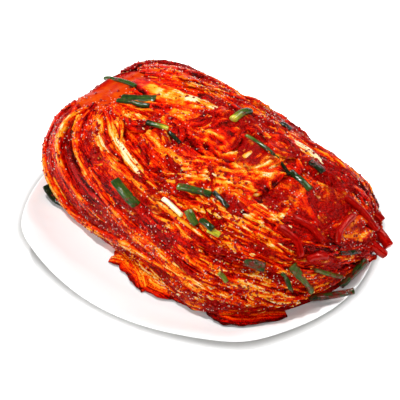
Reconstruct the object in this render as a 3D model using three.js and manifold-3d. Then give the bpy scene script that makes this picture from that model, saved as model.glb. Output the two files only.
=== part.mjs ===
// Kimchi on a plate: half a head of napa cabbage, lying cut side up on a square plate with bowed sides,
// with cut spring onion and radish strips pressed into its leaves. Millimetres, +Z up.
// The head lies along X: its root end and the cut core are at -X, and its leaf tips at +X. The side that
// shows best is -Y. The origin is under the middle of the whole, on the surface that the plate stands on.
import * as THREE from "three";
import { mergeVertices } from "three/addons/utils/BufferGeometryUtils.js";
import Module from "manifold-3d";

const wasm = await Module();
wasm.setup();

const GAP = 0.35; // between a piece and what it lies in or on
const SHIFT_X = 1; // the head hangs a little further over the plate at -X than at +X

// The plate: corners at +-cornerX, +-cornerY, and each side bowed outwards past them.
const plateSize = {
  cornerX: 107,
  cornerY: 101,
  bowX: 38,
  bowY: 28,
  cornerSharpness: 50,
  cornerRise: 4, // of the rim at the corners, over its height at the middle of a side
  floorZ: 7,
  rimZ: 19,
  stepsAround: 64,
};

const wallStart = 0.6; // share of the outline's radius where the level floor ends

// Half sections of the plate as [share of the outline's radius, height].
const underside = [
  [0, 2.5],
  [0.5, 2.5],
  [0.52, 0],
  [0.57, 0],
  [wallStart, 3],
  [0.8, 6],
  [1, 17.5],
];
const topside = [
  [0.995, plateSize.rimZ],
  [0.97, 18.3],
  [0.88, 12.5],
  [0.76, 8.3],
  [0.64, plateSize.floorZ],
  [0, plateSize.floorZ],
];

// The head's outline at stations along X: [x, edge at -Y, edge at +Y, height of its crown over the floor].
const headStations = [
  [-151, 12, 54, 36],
  [-146, -18, 84, 55],
  [-132, -37, 112, 71],
  [-104, -49, 128, 80],
  [-54, -60, 130, 82],
  [6, -73, 126, 75],
  [56, -83, 114, 66],
  [96, -68, 104, 54],
  [124, -28, 82, 38],
  [138, 6, 62, 26],
  [146, 28, 48, 14],
];
const head = {
  stepsAround: 64,
  stepsAlong: 30,
  topShare: 0.8, // of the steps around, the rest are on the flat underside
  shoulder: 3.2, // how square the cross section is
  flank: 1.1, // how gently it rounds over into its sides
  tuck: 0.14, // how far the +Y side draws in where it meets the plate, as a share of half the width
  tuckHeight: 0.4, // share of the height below which it does
  leastThickness: 6,
  leafEdges: 10, // leaf edges that show as long bands, from one side over the crown to the other
  edgeHeight: 5.5,
  crinkleHeight: 2.2,
};
const core = { x: -115, y: 23, topZ: 87, depth: 40, alongX: 21, alongY: 25, tilt: -0.2 };

const colours = {
  glaze: 0xf4f3f1,
  cabbage: 0xd8430f,
  leaf: 0xc9300c,
  onionGreen: 0x3c6b2e,
  onionDark: 0x1f3a1c,
  onionYellow: 0xb9b32c,
  onionWhite: 0xf2e6b8,
  radish: 0xb8120c,
};

// Spring onion: [name, path in plan or in space, width, thickness, height over the head, colour].
const onions = [
  ["onion_root_stalk", [[-135, 45], [-113, 42], [-91, 37]], 5, 4.5, 1.8, "onionGreen"],
  ["onion_dark_leaf", [[-89, 18], [-62, 35]], 13, 3.4, 1.6, "onionDark"],
  ["onion_core_stalk", [[-97, 12], [-68, 18]], 6.5, 5, 2.4, "onionGreen"],
  ["onion_split_tip", [[-52, 1], [-32, 5]], 7, 4, 1.5, "onionYellow"],
  ["onion_split_stalk", [[-29, 2], [-15, -2]], 4.5, 4, 1.2, "onionDark"],
  ["onion_wide_leaf", [[-51, -45], [-36, -50], [-22, -54]], 14, 3.2, 1.8, "onionGreen"],
  ["onion_middle_green", [[2, -34], [17, -31], [30, -29]], 8, 6, 2, "onionGreen"],
  ["onion_middle_stalk", [[33, -27], [50, -32]], 4.5, 4, 1.6, "onionDark"],
  ["onion_white", [[-7, -45], [22, -52]], 6.5, 5, 2.2, "onionWhite"],
  ["onion_bent_green", [[26, -44], [32, -57]], 9, 6, 2.2, "onionYellow"],
  ["onion_bent_dark", [[39, -47], [51, -49]], 8, 6, 2, "onionDark"],
  ["onion_yellow_ring", [[42, -57], [55, -56]], 7, 5, 2, "onionYellow"],
  ["onion_under_leaf", [[-122, -42, 24], [-108, -50, 14]], 9, 7, 0, "onionDark"],
  ["onion_far_ring", [[-6, 56], [-5, 70], [-4, 88]], 9, 8, 2.4, "onionYellow"],
  ["onion_far_bit", [[22, 81], [36, 80]], 7, 5, 1.6, "onionDark"],
  ["onion_long_thin", [[13, 43], [31, 40], [47, 36]], 5, 4, 1.4, "onionYellow"],
  ["onion_long_green", [[51, 35], [68, 33], [84, 30]], 7.5, 5, 1.8, "onionGreen"],
  ["onion_far_dark", [[64, 54], [78, 52]], 9, 5, 1.6, "onionDark"],
  ["onion_chunk", [[77, -57], [93, -50]], 11, 7, 1.8, "onionGreen"],
  ["onion_flat_green", [[105, -34, 47], [113, -32, 38], [120, -30, 27]], 9.5, 5, 1, "onionGreen"],
  ["onion_thin_light", [[117, -24, 41], [125, -15, 33], [132, -5, 26]], 5, 4, 1, "onionGreen"],
  ["onion_end_stalk", [[134, -9, 18], [138, 3, 25], [142, 16, 31]], 6.5, 6, 1, "onionDark"],
  ["onion_over_rim", [[121, -33, 19], [136, -24, 23], [148, -14, 26]], 6.5, 6, 1, "onionDark"],
  ["onion_end_bit", [[125, 0, 42], [135, 16, 36]], 5, 4, 1, "onionDark"],
  ["onion_low_bit", [[94, -42], [102, -43]], 5, 4, 1.2, "onionGreen"],
  ["onion_small_ring", [[64, -70], [72, -71]], 5, 4.5, 1.5, "onionYellow"],
];

// Radish strips, in the same terms.
const radishes = [
  ["radish_strip_1", [[86, -22], [100, -20], [107, -26]], 6.5, 5.5, 1.8, "radish"],
  ["radish_strip_2", [[117, 32], [116, 14], [120, 2]], 6.5, 5.5, 2, "radish"],
  ["radish_strip_3", [[105, 40], [120, 44], [135, 44]], 7, 6, 2, "radish"],
  ["radish_strip_4", [[111, -24], [114, -17], [119, -11]], 7, 6, 1.6, "radish"],
  ["radish_strip_5", [[90, -8], [102, -4], [112, -6]], 6, 5, 1.4, "radish"],
  ["radish_tip_1", [[136, 48, 33], [142, 45, 31], [149, 42, 28]], 9, 9, 0, "radish"],
  ["radish_tip_2", [[138, 32, 32], [144, 34, 28], [149, 36, 24]], 8, 8, 0, "radish"],
  ["radish_tip_3", [[121, 60, 37], [131, 60, 32]], 8, 7, 0, "radish"],
];

// Leaf ends that reach out from under the head onto the plate.
const leafEnds = [
  ["leaf_end_front", [[64, -78, 9], [80, -79, 9], [99, -69, 10], [116, -52, 11]], 15, 8, 0, "leaf"],
  ["leaf_end_left", [[-33, -75, 9], [-20, -70, 9], [-10, -64, 10]], 11, 6, 0, "leaf"],
];

function hermite(table, column, x) {
  const last = table.length - 2;
  let i = table.findIndex((row, k) => k <= last && x <= table[k + 1][0]);
  if (i < 0) i = last;
  const slope = (k) => {
    const a = table[Math.max(k - 1, 0)];
    const b = table[Math.min(k + 1, table.length - 1)];
    return (b[column] - a[column]) / (b[0] - a[0]);
  };
  const span = table[i + 1][0] - table[i][0];
  const t = THREE.MathUtils.clamp((x - table[i][0]) / span, 0, 1);
  const [p, q] = [table[i][column], table[i + 1][column]];
  const [m, n] = [slope(i) * span, slope(i + 1) * span];
  return p + m * t + (3 * (q - p) - 2 * m - n) * t ** 2 + (2 * (p - q) + m + n) * t ** 3;
}

// Distance from the plate's middle to its outline, at an angle in plan.
function outlineRadius(angle) {
  const toSide = (along, across, corner, otherCorner, bow) => {
    const reach = corner + bow;
    const bend = (bow * across ** 2) / otherCorner ** 2;
    return (2 * reach) / (along + Math.sqrt(along ** 2 + 4 * bend * reach));
  };
  const c = Math.abs(Math.cos(angle));
  const s = Math.abs(Math.sin(angle));
  const { cornerX, cornerY, bowX, bowY, cornerSharpness: n } = plateSize;
  const toX = toSide(c, s, cornerX, cornerY, bowX);
  const toY = toSide(s, c, cornerY, cornerX, bowY);
  const nearer = Math.min(toX, toY);
  return nearer * ((toX / nearer) ** -n + (toY / nearer) ** -n) ** (-1 / n);
}

// How far the plate's wall is raised towards its corners.
function cornerLift(angle, share) {
  const { cornerX, cornerY, cornerRise } = plateSize;
  const diagonal = Math.sin(2 * Math.atan2(Math.sin(angle) / cornerY, Math.cos(angle) / cornerX)) ** 2;
  const outwards = Math.max(0, (share - wallStart) / (1 - wallStart));
  return cornerRise * diagonal * outwards;
}

// Height of the plate's upper face, carried on level past its rim.
function plateTop(x, y) {
  const angle = Math.atan2(y, x);
  const share = Math.hypot(x, y) / outlineRadius(angle);
  const inwards = topside.findIndex(([s]) => s <= share);
  if (inwards <= 0) return plateSize.rimZ + cornerLift(angle, 1);
  const [outer, inner] = [topside[inwards - 1], topside[inwards]];
  const t = (share - inner[0]) / (outer[0] - inner[0]);
  return THREE.MathUtils.lerp(inner[1], outer[1], t) + cornerLift(angle, share);
}

function section(x) {
  const [near, far, height] = [1, 2, 3].map((column) => hermite(headStations, column, x));
  return { middle: (near + far) / 2, half: (far - near) / 2, height };
}

// Lowest height of what rests on the plate, a little higher where the plate's rim curves over.
function restingZ(x, y) {
  const share = Math.hypot(x, y) / outlineRadius(Math.atan2(y, x));
  return plateTop(x, y) + GAP + 0.15 + 2 * THREE.MathUtils.smoothstep(share, 0.74, 0.96);
}

// Height of the head's surface, or of what a piece would rest on beside it.
function headTop(x, y) {
  const { middle, half, height } = section(x);
  const across = Math.abs(y - middle) / half;
  const base = restingZ(x, y);
  const ends = headStations[0][0] < x && x < headStations.at(-1)[0];
  if (!ends || across >= 1) return base;
  const profile = (1 - across ** head.shoulder) ** (head.flank / 2);
  return base + Math.max(plateSize.floorZ + height - base, head.leastThickness) * profile;
}

// How far leaf edges stand out of the head's surface: long bands that fan out from the core, then crinkles.
// along runs from the root end to the tips, and around from one side over the crown to the other, both 0 to 1.
function relief(along, around) {
  const drift = 0.02 * Math.sin(9 * along) + 0.012 * Math.sin(23 * along + 6 * around);
  const band = Math.abs(Math.sin(Math.PI * head.leafEdges * (around + drift)));
  const fromCore = THREE.MathUtils.smoothstep(along, 0.04, 0.2);
  const edges = fromCore * (1 - 0.4 * along) * head.edgeHeight * (band ** 0.7 - 0.6);
  return edges + head.crinkleHeight * along * Math.sin(47 * along + 3 * around) * Math.sin(29 * around - 8 * along);
}

function solidFrom(geometry) {
  const bare = geometry.index ? geometry.toNonIndexed() : geometry.clone();
  const positions = new THREE.BufferGeometry().setAttribute("position", bare.getAttribute("position"));
  const merged = mergeVertices(positions, 1e-3);
  return new wasm.Manifold(
    new wasm.Mesh({
      numProp: 3,
      vertProperties: merged.attributes.position.array,
      triVerts: new Uint32Array(merged.index.array),
    }),
  );
}

function geometryFrom(solid) {
  const mesh = solid.getMesh();
  const flat = new Float32Array(mesh.numVert * 3);
  for (let i = 0; i < mesh.numVert; i++) {
    const start = i * mesh.numProp;
    flat.set(mesh.vertProperties.subarray(start, start + 3), i * 3);
  }
  return new THREE.BufferGeometry()
    .setAttribute("position", new THREE.BufferAttribute(flat, 3))
    .setIndex(new THREE.BufferAttribute(mesh.triVerts, 1));
}

function largestPiece(solid) {
  return solid.decompose().reduce((a, b) => (b.volume() > a.volume() ? b : a));
}

function bend(geometry, place) {
  const positions = geometry.getAttribute("position");
  const point = new THREE.Vector3();
  for (let i = 0; i < positions.count; i++) {
    place(point.fromBufferAttribute(positions, i));
    positions.setXYZ(i, point.x, point.y, point.z);
  }
  return geometry;
}

function plateSolid() {
  const profile = [...underside, ...topside].map(([share, z]) => new THREE.Vector2(share, z));
  const lathe = new THREE.LatheGeometry(profile, plateSize.stepsAround).rotateX(Math.PI / 2);
  return solidFrom(
    bend(lathe, (p) => {
      const angle = Math.atan2(p.y, p.x);
      const radius = outlineRadius(angle);
      const lift = cornerLift(angle, Math.hypot(p.x, p.y));
      p.set(p.x * radius, p.y * radius, p.z + lift);
    }),
  );
}

function drawnIn(across, rise) {
  if (across < 0) return across;
  return across * (1 - head.tuck * (1 - THREE.MathUtils.smoothstep(rise, 0, head.tuckHeight)));
}

function headSolid() {
  const [first, last] = [headStations[0][0], headStations.at(-1)[0]];
  const ball = new THREE.SphereGeometry(1, head.stepsAround, head.stepsAlong);
  return solidFrom(
    bend(ball, (p) => {
      const polar = Math.acos(THREE.MathUtils.clamp(p.y, -1, 1));
      const turn = (Math.atan2(p.z, -p.x) + 2 * Math.PI + 1e-6) % (2 * Math.PI);
      const x = first + ((last - first) * (1 - Math.cos(polar))) / 2;
      const { middle, half, height } = section(x);
      if (Math.abs(p.y) > 0.9999) {
        p.set(x, middle, restingZ(x, middle) + height / 3);
        return;
      }
      const share = turn / (2 * Math.PI);
      if (share > head.topShare) {
        const across = 1 - (2 * (share - head.topShare)) / (1 - head.topShare);
        const y = middle + half * drawnIn(across, 0);
        p.set(x, y, restingZ(x, y));
        return;
      }
      const angle = (Math.PI * share) / head.topShare;
      const cosine = -Math.cos(angle);
      const across = Math.sign(cosine) * Math.abs(cosine) ** (2 / head.shoulder);
      const rise = Math.abs(Math.sin(angle));
      const y = middle + half * drawnIn(across, rise);
      const base = restingZ(x, y);
      const full = Math.max(plateSize.floorZ + height - base, head.leastThickness);
      const out = relief((x - first) / (last - first), angle / Math.PI) * Math.min(1, 2 * rise);
      p.set(x, y + out * cosine * Math.abs(cosine), base + full * rise ** head.flank + out * rise);
    }),
  );
}

// The stump where the leaves join: an oval block with its flat cut face on top, leaning out at the root end.
function coreSolid() {
  const block = new THREE.CylinderGeometry(1, 0.8, core.depth, 28);
  block.rotateX(Math.PI / 2);
  block.translate(0, 0, -core.depth / 2);
  block.scale(core.alongX, core.alongY, 1);
  block.rotateY(core.tilt);
  block.translate(core.x, core.y, core.topZ);
  return solidFrom(block);
}

// A strip: an oval rod bent along its path. A point of the path without a height lies on the head or plate.
function stripSolid([, path, width, thickness, lift], grow = 0) {
  const points = path.map(([x, y, z]) => {
    const lowest = restingZ(x, y) + thickness / 2 + 0.5;
    return new THREE.Vector3(x, y, Math.max(z ?? headTop(x, y) + lift, lowest));
  });
  const curve = new THREE.CatmullRomCurve3(points);
  const steps = Math.max(2, Math.round(curve.getLength() / 9));
  const rod = new THREE.CylinderGeometry(1, 1, 1, 6, steps);
  return solidFrom(
    bend(rod, (p) => {
      const t = p.y + 0.5;
      const ahead = curve.getTangent(t);
      const sideways = new THREE.Vector3(ahead.y, -ahead.x, 0).normalize();
      const upwards = sideways.clone().cross(ahead);
      const narrowing = 1 - 0.3 * (2 * t - 1) ** 8;
      const side = p.x * ((width * narrowing) / 2 + grow);
      const up = p.z * (thickness / 2 + grow);
      const beyond = Math.sign(p.y) * (Math.abs(p.y) > 0.499 ? grow : 0);
      p.copy(curve.getPoint(t)).addScaledVector(ahead, beyond);
      p.addScaledVector(sideways, side).addScaledVector(upwards, up);
    }),
  );
}

const object = new THREE.Group();
object.name = "kimchi";
object.position.x = SHIFT_X;

function addNode(name, solid, colour, roughness) {
  const material = new THREE.MeshStandardMaterial({ color: colours[colour], roughness, metalness: 0 });
  const mesh = new THREE.Mesh(geometryFrom(solid), material);
  mesh.name = name;
  object.add(mesh);
}

let cabbage = headSolid().add(coreSolid());
let placed = null;
for (const strip of [...onions, ...radishes, ...leafEnds]) {
  const [name, , , , , colour] = strip;
  const grown = stripSolid(strip, GAP);
  const solid = placed ? largestPiece(stripSolid(strip).subtract(placed)) : stripSolid(strip);
  placed = placed ? placed.add(grown) : grown;
  addNode(name, solid, colour, 0.35);
}
cabbage = largestPiece(cabbage.subtract(placed));
addNode("cabbage_head", cabbage, "cabbage", 0.3);
addNode("plate", plateSolid(), "glaze", 0.12);

export default object;
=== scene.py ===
import math
import random

import bmesh
import bpy
import numpy as np
from mathutils import Matrix, Vector, noise
from mathutils.bvhtree import BVHTree


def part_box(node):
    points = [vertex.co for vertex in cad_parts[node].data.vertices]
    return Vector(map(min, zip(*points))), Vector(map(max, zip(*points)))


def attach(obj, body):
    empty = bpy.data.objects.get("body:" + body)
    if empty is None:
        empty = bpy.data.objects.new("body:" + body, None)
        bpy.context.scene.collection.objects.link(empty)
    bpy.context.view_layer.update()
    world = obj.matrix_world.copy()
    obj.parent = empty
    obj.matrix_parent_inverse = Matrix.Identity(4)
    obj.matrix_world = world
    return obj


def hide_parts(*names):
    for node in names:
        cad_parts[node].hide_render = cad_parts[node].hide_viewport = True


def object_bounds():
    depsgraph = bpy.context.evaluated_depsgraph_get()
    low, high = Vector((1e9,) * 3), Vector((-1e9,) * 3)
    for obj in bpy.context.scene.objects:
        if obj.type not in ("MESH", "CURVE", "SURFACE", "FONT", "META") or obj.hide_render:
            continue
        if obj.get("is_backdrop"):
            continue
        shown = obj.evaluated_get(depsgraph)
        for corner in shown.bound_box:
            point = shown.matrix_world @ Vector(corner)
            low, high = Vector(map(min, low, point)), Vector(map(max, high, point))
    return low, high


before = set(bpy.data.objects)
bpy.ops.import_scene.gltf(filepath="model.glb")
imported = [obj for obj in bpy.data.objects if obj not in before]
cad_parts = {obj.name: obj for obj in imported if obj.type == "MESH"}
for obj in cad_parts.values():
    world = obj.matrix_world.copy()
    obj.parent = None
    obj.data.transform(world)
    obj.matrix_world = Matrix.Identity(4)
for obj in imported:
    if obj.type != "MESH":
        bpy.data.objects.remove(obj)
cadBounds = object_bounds()
mm = 0.001  # lengths below are in millimetres until a mesh is finished

headLow, headHigh = [np.array(corner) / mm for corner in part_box("cabbage_head")]
plateLow, plateHigh = [np.array(corner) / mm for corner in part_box("plate")]
headSize = headHigh - headLow
plateMiddle = (plateLow + plateHigh) / 2


def spline(values, t):
    # a smooth curve through a list of values or points, at t from 0 to 1
    values = np.asarray(values, float)
    if values.ndim == 1:
        values = values[:, None]
    last = len(values) - 1
    place = np.clip(t, 0, 1) * last
    first = np.minimum(place.astype(int), last - 1)
    part = (place - first)[:, None]
    before, start = values[np.maximum(first - 1, 0)], values[first]
    end, after = values[first + 1], values[np.minimum(first + 2, last)]
    linear = (end - before) * part
    square = (2 * before - 5 * start + 4 * end - after) * part**2
    cube = (3 * start - before - 3 * end + after) * part**3
    return start + 0.5 * (linear + square + cube)


def together(*parts):
    # numbers and lists of numbers side by side, as the columns of one table
    return np.stack(np.broadcast_arrays(*parts), -1)


def unit(vectors):
    return vectors / np.maximum(np.linalg.norm(vectors, axis=1), 1e-9)[:, None]


def lengthOf(line):
    return np.linalg.norm(np.diff(line, axis=0), axis=1).sum()


def headingOn(path, t, step):
    return spline(path, np.minimum(t + step, 1)) - spline(path, np.maximum(t - step, 0))


def smoothStep(value, low, high):
    t = np.clip((value - low) / (high - low), 0, 1)
    return t * t * (3 - 2 * t)


def bumps(points, size, seed):
    # soft random bumps from -1 to 1, about size across
    shift = Vector((seed * 7.31, seed * 3.77, seed * 5.19))
    return np.array([noise.noise(Vector(p) + shift) for p in points / size])


# The plate: its outline, and its section as (share of the way to the edge, height)
plate = {
    "cornerX": 107,
    "cornerY": 101,
    "sharpness": 50,
    "cornerRise": 4,
    "wallStart": 0.6,
    "top": (
        *((0, 7), (0.3, 7), (0.6, 7), (0.66, 7.15)),
        *((0.76, 8.3), (0.88, 12.5), (0.955, 17.2), (0.985, 18.8)),
    ),
    "rim": ((0.993, 19.0), (0.9985, 18.75), (1.0, 18.2), (0.997, 17.6)),
    "under": (
        *((0.9, 11.9), (0.8, 6), (0.7, 3.9), (0.6, 3)),
        *((0.575, 1.5), (0.57, 0.2), (0.562, 0), (0.528, 0)),
    ),
    "foot": ((0.52, 0.2), (0.515, 1.6), (0.5, 2.5), (0.25, 2.5), (0, 2.5)),
    "stepsAround": 160,
}


def outlineRadius(angle):
    # distance from the plate's middle to its edge: four bowed sides that meet in tight corners
    cosine, sine = np.abs(np.cos(angle)), np.abs(np.sin(angle))
    reachX, reachY = (plateHigh - plateLow)[:2] / 2

    def toSide(along, across, reach, corner, otherCorner):
        bend = (reach - corner) * across**2 / otherCorner**2
        return 2 * reach / (along + np.sqrt(along**2 + 4 * bend * reach))

    toX = toSide(cosine, sine, reachX, plate["cornerX"], plate["cornerY"])
    toY = toSide(sine, cosine, reachY, plate["cornerY"], plate["cornerX"])
    nearer = np.minimum(toX, toY)
    power = plate["sharpness"]
    return nearer * ((toX / nearer) ** -power + (toY / nearer) ** -power) ** (-1 / power)


def cornerLift(angle, share):
    square = np.arctan2(np.sin(angle) / plate["cornerY"], np.cos(angle) / plate["cornerX"])
    upWall = np.maximum(0, (share - plate["wallStart"]) / (1 - plate["wallStart"]))
    return plate["cornerRise"] * np.sin(2 * square) ** 2 * upWall


def plateTopAt(x, y):
    x, y = x - plateMiddle[0], y - plateMiddle[1]
    angle = np.arctan2(y, x)
    share = np.hypot(x, y) / outlineRadius(angle)
    shares, heights = zip(*plate["top"])
    return np.interp(share, shares, heights) + cornerLift(angle, np.minimum(share, 1))


# The heap. A place on it is two numbers from 0 to 1: along runs from the root end to the tips,
# around from the -Y side over the crown to the +Y side.
heap = {
    "stations": (  # share of the length, -Y edge, +Y edge and crown as shares of the head's box
        (0.000, 0.454, 0.655, 0.430),
        (0.017, 0.311, 0.798, 0.657),
        (0.064, 0.220, 0.932, 0.849),
        (0.158, 0.163, 1.009, 0.956),
        (0.327, 0.110, 1.018, 0.980),
        (0.529, 0.048, 0.999, 0.896),
        (0.697, 0.000, 0.942, 0.789),
        (0.832, 0.072, 0.894, 0.645),
        (0.926, 0.263, 0.789, 0.454),
        (0.973, 0.426, 0.693, 0.311),
        (1.000, 0.531, 0.626, 0.167),
    ),
    "shoulder": 3.2,
    "flank": 1.1,
    "tuck": 0.14,
    "endRound": 0.03,
    "clearance": 0.8,
    "farSink": 3.5,
}
stations = np.array(heap["stations"])


def stationAt(along, column):
    # a smooth curve through one column of the stations
    xs, ys = stations[:, 0], stations[:, column]
    slopes = np.empty(len(xs))
    slopes[1:-1] = (ys[2:] - ys[:-2]) / (xs[2:] - xs[:-2])
    slopes[0] = (ys[1] - ys[0]) / (xs[1] - xs[0])
    slopes[-1] = (ys[-1] - ys[-2]) / (xs[-1] - xs[-2])
    row = np.clip(np.searchsorted(xs, along, side="right") - 1, 0, len(xs) - 2)
    span = xs[row + 1] - xs[row]
    t = np.clip((along - xs[row]) / span, 0, 1)
    rise, leave, arrive = ys[row + 1] - ys[row], slopes[row] * span, slopes[row + 1] * span
    curve = leave * t + (3 * rise - 2 * leave - arrive) * t**2 + (leave + arrive - 2 * rise) * t**3
    return ys[row] + curve


def heapAt(along, around):
    along, around = np.clip(along, 0, 1), np.clip(around, 0, 1)
    fromEnd = np.minimum(along, 1 - along) / heap["endRound"]
    rounded = np.sqrt(np.clip(1 - np.maximum(0, 1 - fromEnd) ** 2, 0, 1))
    near = headLow[1] + headSize[1] * stationAt(along, 1)
    far = headLow[1] + headSize[1] * stationAt(along, 2)
    crown = headSize[2] * stationAt(along, 3) * (0.4 + 0.6 * rounded)
    cosine = -np.cos(math.pi * around)
    rise = np.sin(math.pi * around)
    across = np.sign(cosine) * np.abs(cosine) ** (2 / heap["shoulder"])
    drawn = across * (1 - heap["tuck"] * (across > 0) * (1 - smoothStep(rise, 0, 0.4)))
    x = headLow[0] + headSize[0] * along
    y = (near + far) / 2 + (far - near) / 2 * drawn * rounded
    base = plateTopAt(x, y) + heap["clearance"]
    z = base + np.maximum(7 + crown - base, 5) * rise ** heap["flank"]
    return together(x, y, z)


def outwardAt(along, around):
    step = 0.004
    acrossWay = heapAt(along, np.minimum(around + step, 1)) - heapAt(along, np.maximum(around - step, 0))
    alongWay = heapAt(np.minimum(along + step, 1), around) - heapAt(np.maximum(along - step, 0), around)
    return unit(np.cross(alongWay, acrossWay))


def seatAt(along, around):
    # one place on the heap and the way out from it
    place = np.array([[along], [around]])
    return heapAt(*place)[0], outwardAt(*place)[0]


# how far it is over the heap from its -Y edge to its +Y edge, at even steps along it
girthPlaces = np.linspace(0, 1, 41)
girths = [lengthOf(heapAt(np.full(25, along), np.linspace(0, 1, 25))) for along in girthPlaces]


def newMesh():
    bm = bmesh.new()
    bm.verts.layers.float_vector.new("leafSpace")  # metres along, shifted for each leaf, and across
    bm.verts.layers.float_vector.new("leafLook")  # how pale, how much paste, how near its edge
    return bm


def setVerts(bm, verts, points, space, look):
    spaceLayer = bm.verts.layers.float_vector["leafSpace"]
    lookLayer = bm.verts.layers.float_vector["leafLook"]
    for vert, point, place, shade in zip(verts, points * mm, space, look):
        vert.co = point
        vert[spaceLayer] = place
        vert[lookLayer] = shade


def newGrid(bm, columns, rows):
    # a flat sheet, with places from 0 to 1 along it and from -1 to 1 across it
    verts = bmesh.ops.create_grid(bm, x_segments=columns, y_segments=rows, size=1)["verts"]
    flat = np.array([v.co[:2] for v in verts])
    return verts, (flat[:, 0] + 1) / 2, flat[:, 1]


def newBall(bm, around, along):
    verts = bmesh.ops.create_uvsphere(bm, u_segments=around, v_segments=along, radius=1)["verts"]
    return verts, np.array([v.co for v in verts])


def aboveDish(points, gap):
    points[:, 2] = np.maximum(points[:, 2], plateTopAt(points[:, 0], points[:, 1]) + gap)


def inScene(name, data):
    made = bpy.data.objects.new(name, data)
    bpy.context.scene.collection.objects.link(made)
    return made


def meshInScene(name, bm, material):
    mesh = bpy.data.meshes.new(name)
    bm.to_mesh(mesh)
    bm.free()
    mesh.materials.append(material)
    return inScene(name, mesh)


def finishPiece(name, bm, material, slot, nodes=(), thickness=0.0):
    piece = meshInScene(name, bm, material)
    piece.data.shade_smooth()
    if thickness:
        wall = piece.modifiers.new("thickness", "SOLIDIFY")
        wall.thickness = thickness * mm
        wall.offset = -1
        wall.use_rim = True
    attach(piece, "root")
    for node in nodes:
        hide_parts(node)
    return piece


def tint(red, green, blue):
    # a colour as the screen shows it, from 0 to 255, as Blender wants it
    def linear(value):
        value /= 255
        return value / 12.92 if value <= 0.04045 else ((value + 0.055) / 1.055) ** 2.4

    return (linear(red), linear(green), linear(blue), 1.0)


def wire(tree, kind, inputs, **settings):
    made = tree.nodes.new(kind)
    for key, value in settings.items():
        setattr(made, key, value)
    for key, value in inputs.items():
        socket = made.inputs[key]
        if isinstance(value, bpy.types.NodeSocket):
            tree.links.new(value, socket)
        else:
            socket.default_value = value
    return made


def maths(tree, operation, a, b=0.0, clamp=False):
    return wire(tree, "ShaderNodeMath", {0: a, 1: b}, operation=operation, use_clamp=clamp).outputs[0]


def within(tree, value, low, high):
    inputs = {"Value": value, "From Min": low, "From Max": high}
    return wire(tree, "ShaderNodeMapRange", inputs, interpolation_type="SMOOTHSTEP").outputs["Result"]


def speckle(tree, vector, scale, detail, roughness, stretch=None):
    if stretch:
        vector = wire(tree, "ShaderNodeMapping", {"Vector": vector, "Scale": stretch}).outputs[0]
    inputs = {"Vector": vector, "Scale": scale, "Detail": detail, "Roughness": roughness}
    return wire(tree, "ShaderNodeTexNoise", inputs).outputs["Fac"]


def ramp(tree, factor, stops):
    made = wire(tree, "ShaderNodeValToRGB", {"Fac": factor})
    band = made.color_ramp
    band.elements[0].position, band.elements[0].color = stops[0][0], tint(*stops[0][1])
    band.elements[1].position, band.elements[1].color = stops[-1][0], tint(*stops[-1][1])
    for position, colour in stops[1:-1]:
        band.elements.new(position).color = tint(*colour)
    return made.outputs["Color"]


def swing(tree, *terms):
    # the sum of textures that run from 0 to 1, each taken around zero and times its weight
    total = 0.0
    for texture, weight in terms:
        part = maths(tree, "MULTIPLY", maths(tree, "SUBTRACT", texture, 0.5), weight)
        total = maths(tree, "ADD", part, total)
    return total


def weighed(tree, *terms):
    # the sum of values, each times its weight
    total = 0.0
    for value, weight in terms:
        total = maths(tree, "ADD", maths(tree, "MULTIPLY", value, weight), total)
    return total


def mixed(tree, factor, a, b):
    inputs = {0: factor, 6: a, 7: b}
    return wire(tree, "ShaderNodeMix", inputs, data_type="RGBA").outputs[2]


def raised(tree, height, distance, strength):
    inputs = {"Height": height, "Distance": distance * mm, "Strength": strength}
    return wire(tree, "ShaderNodeBump", inputs).outputs["Normal"]


def stored(tree, name):
    # the three numbers that a mesh keeps at each point
    return wire(tree, "ShaderNodeAttribute", {}, attribute_name=name).outputs["Vector"]


def meshInputs(tree):
    # the place on a leaf, the three numbers of its look, and the place in space
    look = wire(tree, "ShaderNodeSeparateXYZ", {"Vector": stored(tree, "leafLook")}).outputs
    return stored(tree, "leafSpace"), look, wire(tree, "ShaderNodeTexCoord", {}).outputs["Object"]


redOil = (1.0, 0.2, 0.1, 1.0)  # the sauce tints what it mirrors


def newMaterial(name, roughness, coat=0.0, coatRoughness=0.1, specular=0.2, tinted=(1, 1, 1, 1)):
    material = bpy.data.materials.new(name)
    material.use_nodes = True
    tree = material.node_tree
    shader = tree.nodes["Principled BSDF"]
    shader.inputs["Roughness"].default_value = roughness
    shader.inputs["Specular IOR Level"].default_value = specular
    shader.inputs["Specular Tint"].default_value = tinted
    shader.inputs["Coat Weight"].default_value = coat
    shader.inputs["Coat Roughness"].default_value = coatRoughness
    return material, tree, shader


def dress(tree, shader, colour, relief):
    tree.links.new(colour, shader.inputs["Base Color"])
    tree.links.new(relief, shader.inputs["Normal"])


leafColours = {
    "flesh": (
        *((0.0, (52, 0, 0)), (0.16, (122, 0, 0)), (0.32, (196, 4, 0)), (0.46, (228, 20, 1))),
        *((0.58, (242, 66, 0)), (0.7, (250, 122, 6)), (0.83, (255, 178, 40)), (1.0, (255, 236, 190))),
    ),
    "paste": ((0.3, (46, 0, 0)), (0.5, (142, 1, 1)), (0.66, (212, 12, 2))),
}


# How much each texture changes a leaf's tone, how far a streak may rise above the leaf's paleness,
# how dark the edges get, partly the stems' own red edges and partly painted shade where leaves
# overlap, and how plainly the chilli flakes show
leafTexture = {
    "streaks": 1.8,
    "fibres": 1.0,
    "grain": 0.45,
    "grit": 0.6,
    "highest": 0.17,
    "edge": 0.5,
    "flakes": 0.55,
    "flakeColour": (130, 4, 0),
}


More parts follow.
